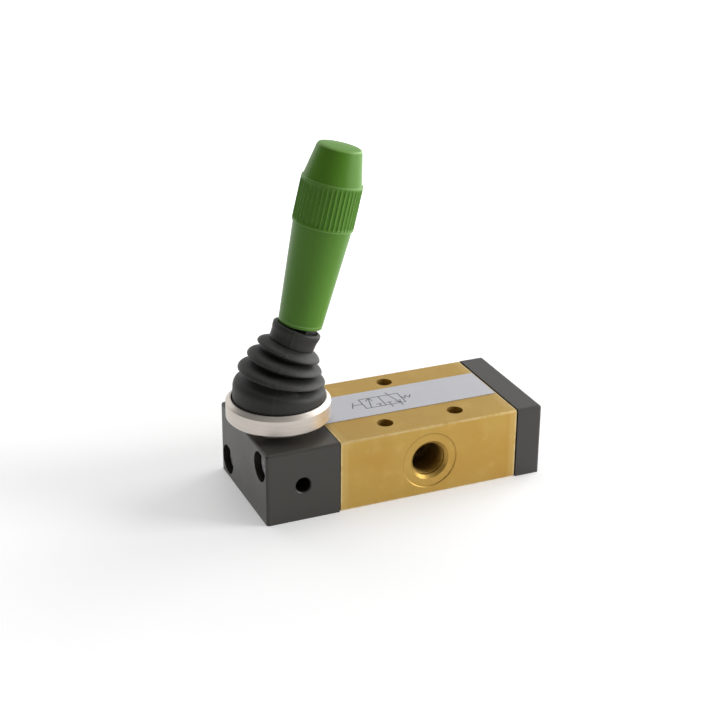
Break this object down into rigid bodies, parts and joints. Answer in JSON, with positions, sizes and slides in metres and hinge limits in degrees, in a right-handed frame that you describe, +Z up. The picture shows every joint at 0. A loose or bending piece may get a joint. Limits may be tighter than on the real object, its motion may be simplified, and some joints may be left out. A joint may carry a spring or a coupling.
{
  "type": "hand lever air valve",
  "caption": "Spool valve with threaded air ports, worked by a tilting hand lever that stands in a rubber boot and a ring nut.",
  "frame": {"origin": "centre of the aluminium body's underside", "axes": "+X along the valve from the lever towards the spring cap, +Y towards the two rear ports, +Z up"},
  "size_m": [0.104, 0.0444, 0.1184],
  "materials": {
    "gold_anodised": "satin gold anodised, drawn bar with milled faces",
    "black_plastic": "fine-grained moulded black plastic",
    "green_plastic": "satin moulded green plastic",
    "boot_rubber": "matt moulded rubber",
    "seal_rubber": "smooth nitrile rubber",
    "nickel_plated": "satin turned nickel plate",
    "screw_steel": "zinc-plated steel",
    "spring_steel": "ground steel",
    "spool_aluminium": "ground and hard anodised",
    "brass": "turned brass",
    "white_acetal": "turned acetal",
    "label_film": "silver film, unprinted"
  },
  "bodies": {
    "valve": {"valve_body": "gold_anodised", "lever_block": "black_plastic", "end_cap": "black_plastic", "block_gasket": "seal_rubber", "cap_gasket": "seal_rubber", "block_screws": "screw_steel", "cap_screws": "screw_steel", "spool_seal_1": "seal_rubber", "spool_seal_2": "seal_rubber", "spool_seal_3": "seal_rubber", "spool_seal_4": "seal_rubber", "seal_cage_1": "white_acetal", "seal_cage_2": "white_acetal", "seal_cage_3": "white_acetal", "guide_bush_left": "brass", "guide_bush_right": "brass", "return_spring": "spring_steel", "neck_bush": "nickel_plated", "ball_seat_lower": "white_acetal", "ball_seat_upper": "white_acetal", "ring_nut": "nickel_plated", "boot": "boot_rubber", "label_strip": "label_film"},
    "spool": {"spool": "spool_aluminium"},
    "lever": {"lever_rod": "spring_steel", "pivot_ball": "spring_steel", "lock_nut": "screw_steel", "handle_insert": "brass", "handle_grip": "green_plastic"}
  },
  "joints": [
    {"name": "lever_swing", "type": "hinge", "parent": "valve", "child": "lever", "pos_m": [-0.0451, 0, 0.02635], "axis": [0, 1, 0], "range_deg": [-27, 0], "stiffness_Nm_per_rad": 0.583, "springref_deg": 24.06, "deforming": ["boot"]},
    {"name": "spool_slide", "type": "slide", "parent": "valve", "child": "spool", "axis": [1, 0, 0], "range_m": [0, 0.00656], "deforming": ["return_spring"]}
  ],
  "couplings": [
    {"joint": "spool_slide", "follows": "lever_swing", "m_per_rad": -0.013914}
  ]
}
